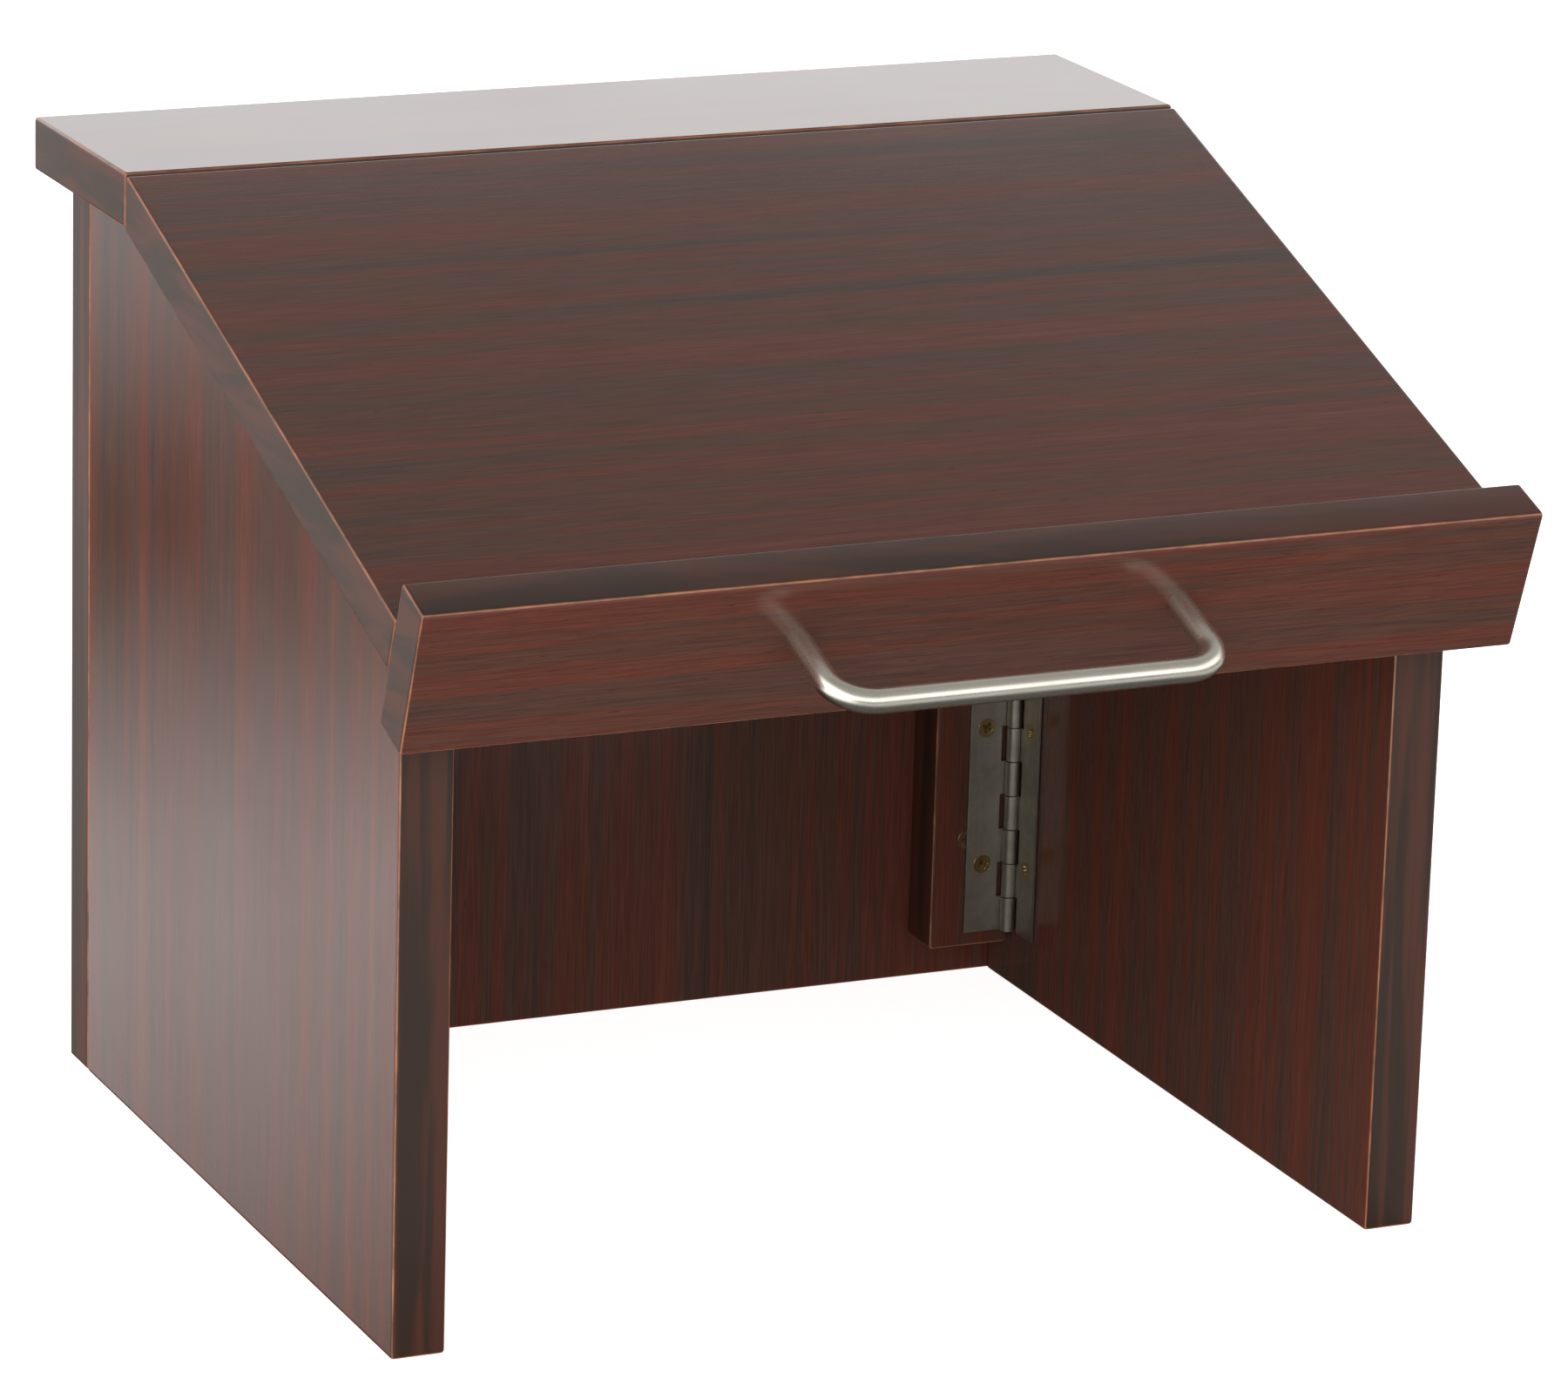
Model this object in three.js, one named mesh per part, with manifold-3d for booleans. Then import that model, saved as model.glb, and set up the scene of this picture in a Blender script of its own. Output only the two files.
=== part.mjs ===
// Folding tabletop lectern: a shelf on a back panel, two side panels on piano hinges that fold in behind
// each other, and a sloped reading desk with a ledge and a pull handle, hinged to the shelf.
// Millimetres, +Z up, +X to the reader's right, -Y towards the reader. The model is built with y = 0 at
// the seam between shelf and desk, then moved so that the origin is under the middle of its bounding box.
import * as THREE from "three";
import { mergeVertices } from "three/addons/utils/BufferGeometryUtils.js";
import Module from "manifold-3d";

// ---------- driving dimensions ----------
const board = 18; // thickness of every large panel
const arris = 1.0; // small chamfer on every panel edge
const touch = 0.3; // gap kept between pieces that rest on each other
const topWidth = 381; // shelf, desk and ledge
const sideInset = 10; // the carcase is this much narrower at each end
const height = 330; // top of the shelf
const shelfDepth = 92; // seam to back edge
const shelfOverhang = 10; // shelf past the back panel
const seamGap = 0.8; // shelf to desk
const slope = THREE.MathUtils.degToRad(19);
const deskLength = 260; // seam to the ledge, along the slope
const ledge = { height: 51, stand: 14, thickness: board }; // stand: above the desk surface
const sideFront = -226; // front edges of the side panels
const swing = { setBack: 5, gap: 0.3 }; // room under the desk for a side panel's outer corner as it folds
const batten = { width: 30.5, depth: 19, length: 280, clear: 1.5 }; // clear: to the side panel
const handle = { centres: 130, reach: 35.5, rod: 4, bend: 13, below: 21.2 }; // below: from the ledge's top
const hinge = {
  length: 254,
  knuckles: 20,
  barrel: 2.65, // outer radius of the knuckles
  bore: 1.5,
  pin: 1.2,
  leaf: 1.0, // sheet thickness
  width: 16.3, // pin to the leaf's edge
  notch: 3.9, // pin to the sheet beside the other leaf's knuckles
  knuckleGap: 0.3,
  firstHole: 25.4,
  holePitch: 50.8,
  holes: 5,
  holeLine: 9.9, // pin to the row of screws
  bottom: 21.3, // above the table, on the side hinges
};
const hingeScrew = { head: 3.4, shank: 1.5, length: 12.5 };
const battenScrew = { head: 3.35, shank: 1.7, length: 30, count: 3, pitch: 100 };
const battenScrewInset = 17.4; // from the batten's right edge
const handleScrew = { head: 3.6, headHeight: 2.4, shank: 2, length: 22, sink: 6 };
const dowel = { radius: 4, length: 30, inThinBoard: 12, count: 3, pitch: 130 };
const sidesOfRound = 8; // of a small turned piece
const handleSides = 10;
const handleSteps = 32;

// ---------- derived places ----------
const halfTop = topWidth / 2;
const halfBody = halfTop - sideInset;
const sideInner = halfBody - board;
const shelfUnder = height - board;
const backRear = shelfDepth - shelfOverhang;
const backFront = backRear - board;
const battenFront = backFront - batten.depth;
const battenRight = sideInner - batten.clear;
const battenBottom = (shelfUnder - batten.length) / 2;
const pinOffset = hinge.barrel + touch; // from each board that a leaf lies on
const leftPin = [-sideInner + pinOffset, backFront - pinOffset];
const rightPin = [sideInner - pinOffset, battenFront - pinOffset];
const seamPinZ = shelfUnder + hinge.barrel;
const seamPinY = (seamPinZ - height) * Math.sin(slope); // in the desk's own turned frame
const seamPinDrop = (seamPinZ - height) * Math.cos(slope);
const ledgeBack = -deskLength; // in the desk's own frame
const ledgeTop = ledge.stand;
const ledgeFront = ledgeBack - ledge.thickness;
const handleLevel = ledgeTop - handle.below;

const X = new THREE.Vector3(1, 0, 0);
const Y = new THREE.Vector3(0, 1, 0);
const Z = new THREE.Vector3(0, 0, 1);

// ---------- materials ----------
const laminate = () => new THREE.MeshStandardMaterial({ color: 0x5a2a22, roughness: 0.33, metalness: 0 });
const satinSteel = () => new THREE.MeshStandardMaterial({ color: 0xc6c2b4, roughness: 0.28, metalness: 1 });
const hingeSteel = () => new THREE.MeshStandardMaterial({ color: 0xa9a698, roughness: 0.38, metalness: 1 });
const yellowZinc = () => new THREE.MeshStandardMaterial({ color: 0xc9ad66, roughness: 0.35, metalness: 1 });
const brightSteel = () => new THREE.MeshStandardMaterial({ color: 0xb8b8b8, roughness: 0.4, metalness: 1 });
const beech = () => new THREE.MeshStandardMaterial({ color: 0xc8a274, roughness: 0.7, metalness: 0 });

// ---------- solids ----------
const wasm = await Module();
wasm.setup();

// The geometry as a manifold solid, with its shared vertices merged.
function solidOf(geometry) {
  const bare = geometry.clone();
  bare.deleteAttribute("normal");
  bare.deleteAttribute("uv");
  const merged = mergeVertices(bare, 1e-4);
  const vertProperties = new Float32Array(merged.attributes.position.array);
  const triVerts = new Uint32Array(merged.index.array);
  return new wasm.Manifold(new wasm.Mesh({ numProp: 3, vertProperties, triVerts }));
}

function geometryOf(solid) {
  const mesh = solid.getMesh();
  const geometry = new THREE.BufferGeometry();
  geometry.setAttribute("position", new THREE.BufferAttribute(mesh.vertProperties, 3));
  geometry.setIndex(new THREE.BufferAttribute(mesh.triVerts, 1));
  const loose = geometry.toNonIndexed();
  loose.computeVertexNormals();
  return loose;
}

// A geometry with others added to it and cut out of it.
function combine(geometry, added, cut) {
  let solid = solidOf(geometry);
  for (const piece of added) solid = solid.add(solidOf(piece));
  for (const piece of cut) solid = solid.subtract(solidOf(piece));
  return geometryOf(solid);
}

// A profile of [radius, height] points, from low to high, turned about Z.
function turned(profile, sides = sidesOfRound) {
  const points = profile.map(([radius, z]) => new THREE.Vector2(radius, z));
  return new THREE.LatheGeometry(points, sides).rotateX(Math.PI / 2);
}

// A rod about Z between two heights.
const rod = (radius, low, high, sides = sidesOfRound) =>
  turned([[0, low], [radius, low], [radius, high], [0, high]], sides);

// Moves a geometry so that its own +Z runs along direction and its origin is at point.
function aimed(geometry, point, direction) {
  const turn = new THREE.Quaternion().setFromUnitVectors(Z, direction.clone().normalize());
  return geometry.applyQuaternion(turn).translate(point.x, point.y, point.z);
}

// An outline of [a, b] corners with each corner cut by the arris, so that no panel edge is sharp.
function easedShape(corners) {
  const shape = new THREE.Shape();
  corners.forEach((corner, i) => {
    const at = new THREE.Vector2(...corner);
    const before = new THREE.Vector2(...corners[(i + corners.length - 1) % corners.length]);
    const after = new THREE.Vector2(...corners[(i + 1) % corners.length]);
    const from = before.sub(at).setLength(arris).add(at);
    const to = after.sub(at).setLength(arris).add(at);
    if (i === 0) shape.moveTo(from.x, from.y);
    else shape.lineTo(from.x, from.y);
    shape.lineTo(to.x, to.y);
  });
  shape.closePath();
  return shape;
}

// A panel of the given outline and thickness, its faces at 0 and thickness along Z.
function panel(corners, thickness) {
  const geometry = new THREE.ExtrudeGeometry(easedShape(corners), {
    depth: thickness - 2 * arris,
    bevelEnabled: true,
    bevelThickness: arris,
    bevelSize: arris,
    bevelOffset: -arris,
    bevelSegments: 1,
  });
  return geometry.translate(0, 0, arris);
}

const rectangle = (a0, a1, b0, b1) => [[a0, b0], [a1, b0], [a1, b1], [a0, b1]];

// A panel whose outline lies in the YZ plane and whose thickness runs along X from x0.
function panelAlongX(corners, thickness, x0) {
  const basis = new THREE.Matrix4().makeBasis(Y, Z, X);
  return panel(corners, thickness).applyMatrix4(basis).translate(x0, 0, 0);
}

const block = (x0, x1, y0, y1, z0, z1) =>
  new THREE.BoxGeometry(x1 - x0, y1 - y0, z1 - z0)
    .translate((x0 + x1) / 2, (y0 + y1) / 2, (z0 + z1) / 2);

// ---------- fasteners ----------
// A countersunk wood screw, its flat head's top at z = 0 and its point down.
function woodScrew({ head, shank, length }) {
  const pointed = 4; // length of the point
  return turned([[0, -length], [shank, pointed - length], [shank, shank - head], [head, 0], [0, 0]]);
}

// The room that such a screw needs, open at the top.
function screwRoom({ head, shank, length }) {
  const wide = head + touch;
  const narrow = shank + touch;
  const end = -length - touch;
  return turned([[0, end], [narrow, end], [narrow, narrow - wide], [wide, 0], [wide, 1], [0, 1]]);
}

// A machine screw from behind: the head's flat underside is at z = 0 and the shank runs down.
const machineScrew = ({ head, headHeight, shank, length }) =>
  turned([[0, -length], [shank, -length], [shank, 0], [head, 0], [head, headHeight], [0, headHeight]]);

// A plain dowel about Z from the joint's low end, with its ends eased.
function dowelPin() {
  const { radius, length } = dowel;
  const ease = 1;
  return turned([[0, 0], [radius - ease, 0], [radius, ease], [radius, length - ease],
    [radius - ease, length], [0, length]]);
}

const dowelRoom = () => rod(dowel.radius + touch, -touch, dowel.length + touch);

// Evenly spaced places about zero.
const spread = (count, pitch) => Array.from({ length: count }, (_, i) => (i - (count - 1) / 2) * pitch);
const dowelPlaces = spread(dowel.count, dowel.pitch);

// ---------- piano hinge ----------
const knucklePitch = hinge.length / hinge.knuckles;
const holeHeights = Array.from({ length: hinge.holes }, (_, i) => hinge.firstHole + i * hinge.holePitch);

// The sheet's outline: a comb, deep beside the other leaf's knuckles and running on into its own.
function leafOutline() {
  const shape = new THREE.Shape();
  shape.moveTo(hinge.width, 0);
  shape.lineTo(hinge.width, hinge.length);
  for (let i = hinge.knuckles - 1; i >= 0; i -= 1) {
    const own = i % 2 === 0;
    const reach = own ? hinge.barrel * 0.4 : hinge.notch;
    const gap = (own ? 0.5 : -0.5) * hinge.knuckleGap;
    shape.lineTo(reach, Math.min((i + 1) * knucklePitch - gap, hinge.length));
    shape.lineTo(reach, i === 0 ? 0 : i * knucklePitch + gap);
  }
  shape.closePath();
  return shape;
}

// One knuckle: a ring about Z with its bore open at both ends.
function knuckle(index) {
  const low = index === 0 ? 0 : index * knucklePitch + hinge.knuckleGap / 2;
  const high = (index + 1) * knucklePitch - hinge.knuckleGap / 2;
  const { bore, barrel } = hinge;
  return turned([[bore, low], [barrel, low], [barrel, high], [bore, high], [bore, low]]);
}

// One leaf, its pin's axis on Z. The sheet runs out along +X and is tangent to the barrel on its -Y side.
// The screw heads face +Y, the barrel's side, or -Y, the flat side. Both leaves of a hinge are this one
// shape: the second is turned end over end, so that its knuckles fall between the first one's.
function hingeLeaf(headDirection) {
  const sheet = new THREE.ExtrudeGeometry(leafOutline(), { depth: hinge.leaf, bevelEnabled: false });
  sheet.rotateX(Math.PI / 2).translate(0, hinge.leaf - hinge.barrel, 0);
  const knuckles = [];
  for (let i = 0; i < hinge.knuckles; i += 2) knuckles.push(knuckle(i));
  const face = headDirection.y > 0 ? hinge.leaf - hinge.barrel : -hinge.barrel;
  const sinks = holeHeights.map((z) =>
    aimed(screwRoom(hingeScrew), new THREE.Vector3(hinge.holeLine, face, z), headDirection));
  return combine(sheet, knuckles, sinks);
}

const hingePin = () => rod(hinge.pin, 0.2, hinge.length - 0.2);

// Where a leaf goes: its frame's origin and the directions of its own X and Y.
function leafPlace(origin, alongSheet, towardsBarrel) {
  const alongPin = alongSheet.clone().cross(towardsBarrel);
  return new THREE.Matrix4().makeBasis(alongSheet, towardsBarrel, alongPin).setPosition(origin);
}

// The heads' tops on a placed leaf, in the frame that the leaf is placed in.
function headPlaces(place, headDirection) {
  const face = headDirection.y > 0 ? hinge.leaf - hinge.barrel : -hinge.barrel;
  return holeHeights.map((z) => new THREE.Vector3(hinge.holeLine, face, z).applyMatrix4(place));
}

const negative = (vector) => vector.clone().negate();
const low = hinge.bottom;
const high = hinge.bottom + hinge.length;
const halfHinge = hinge.length / 2;

// Each leaf: which way its heads face in its own frame, where it is, and the way they face once placed.
const leaves = {
  left_hinge_fixed_leaf: {
    heads: Y,
    place: leafPlace(new THREE.Vector3(leftPin[0], leftPin[1], high), X, negative(Y)),
    facing: negative(Y),
  },
  left_hinge_moving_leaf: {
    heads: Y,
    place: leafPlace(new THREE.Vector3(leftPin[0], leftPin[1], low), negative(Y), X),
    facing: X,
  },
  right_hinge_fixed_leaf: {
    heads: Y,
    place: leafPlace(new THREE.Vector3(rightPin[0], rightPin[1], low), negative(X), negative(Y)),
    facing: negative(Y),
  },
  right_hinge_moving_leaf: {
    heads: Y,
    place: leafPlace(new THREE.Vector3(rightPin[0], rightPin[1], high), negative(Y), negative(X)),
    facing: negative(X),
  },
  desk_hinge_shelf_leaf: {
    heads: negative(Y),
    place: leafPlace(new THREE.Vector3(-halfHinge, 0, seamPinZ), Y, Z),
    facing: negative(Z),
  },
  desk_hinge_desk_leaf: {
    heads: negative(Y),
    place: leafPlace(new THREE.Vector3(halfHinge, seamPinY, seamPinDrop), negative(Y), Z),
    facing: negative(Z),
  },
};

const screwsOf = (leaf) => headPlaces(leaves[leaf].place, leaves[leaf].heads);
const roomsOf = (leaf) =>
  screwsOf(leaf).map((point) => aimed(screwRoom(hingeScrew), point, leaves[leaf].facing));

// ---------- boards ----------
const backMiddle = (backFront + backRear) / 2;
const shelfDowelLow = shelfUnder - (dowel.length - dowel.inThinBoard);
const ledgeDowelLow = ledgeBack - dowel.inThinBoard;
const ledgeDowelLevel = -board / 2;
const battenScrewX = battenRight - battenScrewInset;
const battenScrewHeights = spread(battenScrew.count, battenScrew.pitch).map((z) => shelfUnder / 2 + z);
const shelfDowelPoints = dowelPlaces.map((x) => new THREE.Vector3(x, backMiddle, shelfDowelLow));
const ledgeDowelPoints = dowelPlaces.map((x) => new THREE.Vector3(x, ledgeDowelLow, ledgeDowelLevel));
const battenScrewPoints = battenScrewHeights.map((z) => new THREE.Vector3(battenScrewX, battenFront, z));
const handlePoints = [-1, 1].map((side) => new THREE.Vector3((side * handle.centres) / 2, 0, handleLevel));

const battenScrewRooms = () =>
  battenScrewPoints.map((point) => aimed(screwRoom(battenScrew), point, negative(Y)));

function backPanel() {
  const outline = rectangle(-halfBody, halfBody, 0, shelfUnder - touch);
  const sheet = panel(outline, board).rotateX(Math.PI / 2).translate(0, backRear, 0);
  const dowels = shelfDowelPoints.map((point) => aimed(dowelRoom(), point, Z));
  return combine(sheet, [], [...dowels, ...battenScrewRooms(), ...roomsOf("left_hinge_fixed_leaf")]);
}

function hingeBatten() {
  const left = battenRight - batten.width;
  const outline = rectangle(left, battenRight, battenBottom, battenBottom + batten.length);
  const strip = panel(outline, batten.depth - touch).rotateX(Math.PI / 2);
  strip.translate(0, backFront - touch, 0);
  return combine(strip, [], [...battenScrewRooms(), ...roomsOf("right_hinge_fixed_leaf")]);
}

// The room for the hinge's barrel, half of it in the shelf's edge and half in the desk's.
const barrelRoom = (point) =>
  aimed(rod(hinge.barrel + 2 * touch, -halfHinge - touch, halfHinge + touch, 14), point, X);

function topShelf() {
  const outline = rectangle(-halfTop, halfTop, seamGap / 2, shelfDepth);
  const sheet = panel(outline, board).translate(0, 0, shelfUnder);
  const wide = halfHinge + touch;
  const rebateTop = shelfUnder + hinge.leaf + touch;
  const rebate = block(-wide, wide, -1, hinge.width + touch, shelfUnder - 1, rebateTop);
  const dowels = shelfDowelPoints.map((point) => aimed(dowelRoom(), point, Z));
  const barrel = barrelRoom(new THREE.Vector3(0, 0, seamPinZ));
  return combine(sheet, [], [rebate, barrel, ...dowels, ...roomsOf("desk_hinge_shelf_leaf")]);
}

// A side panel's top lies level under the shelf and then slopes down under the desk. The slope starts
// behind the desk's own line, because the panel's outer corner swings forward before it swings in.
function sidePanel(x0, leaf) {
  const drop = (board + touch) / Math.cos(slope);
  const levelTop = shelfUnder - touch;
  const slopeStart = (levelTop - height + drop) / Math.tan(slope) + swing.setBack;
  const frontTop = height - drop + sideFront * Math.tan(slope) - swing.gap;
  const rear = backFront - touch;
  const foot = [[sideFront, 0], [rear, 0]];
  const corners = [...foot, [rear, levelTop], [slopeStart, levelTop], [sideFront, frontTop]];
  return combine(panelAlongX(corners, board, x0), [], roomsOf(leaf));
}

// In the desk's own frame the surface is at z = 0 and the slope runs down along -Y. Its back edge is cut
// upright, so it leans in this frame.
function readingDesk() {
  const backEdge = (z) => (z * Math.sin(slope) - seamGap / 2) / Math.cos(slope);
  const front = ledgeBack + touch;
  const corners = [[front, -board], [backEdge(-board), -board], [backEdge(0), 0], [front, 0]];
  const wide = halfHinge + touch;
  const rebateTop = seamPinDrop - hinge.barrel + hinge.leaf + touch;
  const rebate = block(-wide, wide, seamPinY - hinge.width - touch, 1, -board - 1, rebateTop);
  const barrel = barrelRoom(new THREE.Vector3(0, seamPinY, seamPinDrop));
  const dowels = ledgeDowelPoints.map((point) => aimed(dowelRoom(), point, Y));
  const cuts = [rebate, barrel, ...dowels, ...roomsOf("desk_hinge_desk_leaf")];
  return combine(panelAlongX(corners, topWidth, -halfTop), [], cuts);
}

function ledgeBoard() {
  const outline = rectangle(ledgeFront, ledgeBack, ledgeTop - ledge.height, ledgeTop);
  const dowels = ledgeDowelPoints.map((point) => aimed(dowelRoom(), point, Y));
  const sinks = handlePoints.flatMap(({ x, z }) => {
    const back = new THREE.Vector3(x, ledgeBack, z);
    const sunk = rod(handleScrew.head + touch, -handleScrew.sink, 1);
    const through = rod(handleScrew.shank + touch, -ledge.thickness - 1, 1);
    return [aimed(sunk, back, Y), aimed(through, back, Y)];
  });
  return combine(panelAlongX(outline, topWidth, -halfTop), [], [...dowels, ...sinks]);
}

// ---------- pull handle ----------
// A quarter bend from one direction to another, about a centre.
class Bend extends THREE.Curve {
  constructor(centre, from, to) {
    super();
    this.centre = centre;
    this.from = from;
    this.to = to;
  }

  getPoint(t, target = new THREE.Vector3()) {
    const angle = (t * Math.PI) / 2;
    target.copy(this.centre);
    target.addScaledVector(this.from, Math.cos(angle) * handle.bend);
    return target.addScaledVector(this.to, Math.sin(angle) * handle.bend);
  }
}

// A round bar bent into two legs and a grip, with a tapped hole up each leg.
function pullHandle() {
  const half = handle.centres / 2;
  const root = ledgeFront - touch;
  const grip = ledgeFront - handle.reach;
  const bendStart = grip + handle.bend;
  const at = (x, y) => new THREE.Vector3(x, y, handleLevel);
  const path = new THREE.CurvePath();
  path.add(new THREE.LineCurve3(at(-half, root), at(-half, bendStart)));
  path.add(new Bend(at(-half + handle.bend, bendStart), negative(X), negative(Y)));
  path.add(new THREE.LineCurve3(at(-half + handle.bend, grip), at(half - handle.bend, grip)));
  path.add(new Bend(at(half - handle.bend, bendStart), negative(Y), X));
  path.add(new THREE.LineCurve3(at(half, bendStart), at(half, root)));
  const section = new THREE.Shape().absarc(0, 0, handle.rod, 0, 2 * Math.PI);
  const bar = new THREE.ExtrudeGeometry(section, {
    steps: handleSteps,
    curveSegments: handleSides / 2,
    extrudePath: path,
  });
  const depth = handleScrew.length - (ledge.thickness - handleScrew.sink) + 1;
  const tapped = handlePoints.map(({ x, z }) =>
    aimed(rod(handleScrew.shank + touch, -depth, 1), new THREE.Vector3(x, root, z), Y));
  return combine(bar, [], tapped);
}

// ---------- assembly ----------
const base = new THREE.Group();
const leftSide = new THREE.Group();
const rightSide = new THREE.Group();
const desk = new THREE.Group();
desk.position.z = height;
desk.rotation.x = slope;

function place(group, name, geometry, material) {
  const mesh = new THREE.Mesh(geometry, material);
  mesh.name = name;
  group.add(mesh);
  return mesh;
}

// A fastener whose own +Z is turned to the given direction.
function placeAimed(group, name, geometry, material, point, direction) {
  const mesh = place(group, name, geometry, material);
  mesh.position.copy(point);
  mesh.quaternion.setFromUnitVectors(Z, direction);
}

function placeLeaf(group, name) {
  const { heads, place: matrix, facing } = leaves[name];
  const mesh = place(group, name, hingeLeaf(heads), hingeSteel());
  mesh.position.setFromMatrixPosition(matrix);
  mesh.quaternion.setFromRotationMatrix(matrix);
  screwsOf(name).forEach((point, i) => {
    placeAimed(group, `${name}_screw_${i + 1}`, woodScrew(hingeScrew), yellowZinc(), point, facing);
  });
}

place(base, "back_panel", backPanel(), laminate());
place(base, "top_shelf", topShelf(), laminate());
place(base, "hinge_batten", hingeBatten(), laminate());
place(leftSide, "left_side_panel", sidePanel(-halfBody, "left_hinge_moving_leaf"), laminate());
place(rightSide, "right_side_panel", sidePanel(sideInner, "right_hinge_moving_leaf"), laminate());
place(desk, "reading_desk", readingDesk(), laminate());
place(desk, "ledge_board", ledgeBoard(), laminate());
place(desk, "pull_handle", pullHandle(), satinSteel());

placeLeaf(base, "left_hinge_fixed_leaf");
placeLeaf(leftSide, "left_hinge_moving_leaf");
placeLeaf(base, "right_hinge_fixed_leaf");
placeLeaf(rightSide, "right_hinge_moving_leaf");
placeLeaf(base, "desk_hinge_shelf_leaf");
placeLeaf(desk, "desk_hinge_desk_leaf");

const leftAxis = new THREE.Vector3(leftPin[0], leftPin[1], low);
const rightAxis = new THREE.Vector3(rightPin[0], rightPin[1], low);
const seamAxis = new THREE.Vector3(-halfHinge, 0, seamPinZ);
placeAimed(base, "left_hinge_pin", hingePin(), hingeSteel(), leftAxis, Z);
placeAimed(base, "right_hinge_pin", hingePin(), hingeSteel(), rightAxis, Z);
placeAimed(base, "desk_hinge_pin", hingePin(), hingeSteel(), seamAxis, X);

battenScrewPoints.forEach((point, i) => {
  placeAimed(base, `batten_screw_${i + 1}`, woodScrew(battenScrew), yellowZinc(), point, negative(Y));
});
shelfDowelPoints.forEach((point, i) => {
  placeAimed(base, `shelf_dowel_${i + 1}`, dowelPin(), beech(), point, Z);
});
ledgeDowelPoints.forEach((point, i) => {
  placeAimed(desk, `ledge_dowel_${i + 1}`, dowelPin(), beech(), point, Y);
});
handlePoints.forEach(({ x, z }, i) => {
  const seat = new THREE.Vector3(x, ledgeBack - handleScrew.sink + touch, z);
  placeAimed(desk, `handle_screw_${i + 1}`, machineScrew(handleScrew), brightSteel(), seat, Y);
});

const stand = new THREE.Group();
stand.add(base, leftSide, rightSide, desk);
const extent = new THREE.Box3().setFromObject(stand, true);
stand.position.y = -(extent.min.y + extent.max.y) / 2;

const lectern = new THREE.Group();
lectern.add(stand);

export default lectern;
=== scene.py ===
import bpy
import math
import numpy as np
from mathutils import Matrix, Vector


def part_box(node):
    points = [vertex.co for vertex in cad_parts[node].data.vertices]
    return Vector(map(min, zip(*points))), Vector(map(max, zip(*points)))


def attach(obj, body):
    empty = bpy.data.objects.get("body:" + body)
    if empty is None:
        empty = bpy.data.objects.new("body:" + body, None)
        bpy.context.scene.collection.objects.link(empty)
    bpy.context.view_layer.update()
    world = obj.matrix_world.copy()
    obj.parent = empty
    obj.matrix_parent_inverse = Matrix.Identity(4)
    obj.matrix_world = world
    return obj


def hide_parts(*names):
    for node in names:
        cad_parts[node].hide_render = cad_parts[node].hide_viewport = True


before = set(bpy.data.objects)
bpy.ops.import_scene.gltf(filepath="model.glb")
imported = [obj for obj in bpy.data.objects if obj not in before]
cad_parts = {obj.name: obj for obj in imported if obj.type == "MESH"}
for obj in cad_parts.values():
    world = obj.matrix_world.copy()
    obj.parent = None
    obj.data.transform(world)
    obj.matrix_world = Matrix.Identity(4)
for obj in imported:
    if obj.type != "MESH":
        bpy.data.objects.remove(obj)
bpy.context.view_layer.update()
print("frame loaded,", len(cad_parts), "nodes")

# A folding tabletop lectern. Shapes are worked out in millimetres with y = 0 at the seam between shelf
# and desk, and placed in metres in the frame's own axes.
stand = {
    "board": 18.0,  # thickness of every large panel
    "height": 330.0,
    "shelfDepth": 92.0,
    "slope": 19.0,  # degrees
    "arris": 1.15,  # radius of the eased edges
    "cornerRadius": 1.5,
    "arrisSteps": 5,
    "hold": 0.35,  # width of the flat ring beside an eased edge
}

xAxis = np.array([1.0, 0.0, 0.0])
yAxis = np.array([0.0, 1.0, 0.0])
zAxis = np.array([0.0, 0.0, 1.0])

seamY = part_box("top_shelf")[1][1] - stand["shelfDepth"] / 1000

standPlace = np.diag([0.001, 0.001, 0.001, 1.0])
standPlace[1, 3] = seamY


def shifted(x, y, z):
    # moved without turning
    place = np.eye(4)
    place[:3, 3] = (x, y, z)
    return place


def axes(alongA, alongB, alongC, origin=(0, 0, 0)):
    # a frame given by the directions of its three axes and its origin
    place = np.eye(4)
    place[:3, 0] = alongA
    place[:3, 1] = alongB
    place[:3, 2] = alongC
    place[:3, 3] = origin
    return place


def facing(direction, origin):
    # a frame at origin whose own Z is the direction
    direction = np.array(direction, float)
    across = np.cross(direction, xAxis if abs(direction[0]) < 0.9 else yAxis)
    across /= np.linalg.norm(across)
    return axes(across, np.cross(direction, across), direction, origin)


def tilted(degrees):
    # turned about X
    a = math.radians(degrees)
    return axes((1, 0, 0), (0, math.cos(a), math.sin(a)), (0, -math.sin(a), math.cos(a)))


# the desk's own frame: origin at the seam, Y up the slope, Z square to its surface
deskPlace = standPlace @ shifted(0, 0, stand["height"]) @ tilted(stand["slope"])


# Where the camera stands: metres from the origin, degrees, and a lens in millimetres.
cameraSet = {
    "aim": (0.0498, 0.1030, 0.1322),
    "azimuth": -24.49,
    "elevation": 16.31,
    "roll": 1.70,
    "distance": 2.5958,
    "lens": 173.08,
    "sensor": 36.0,
    "clipStart": 0.05,
}


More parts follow.
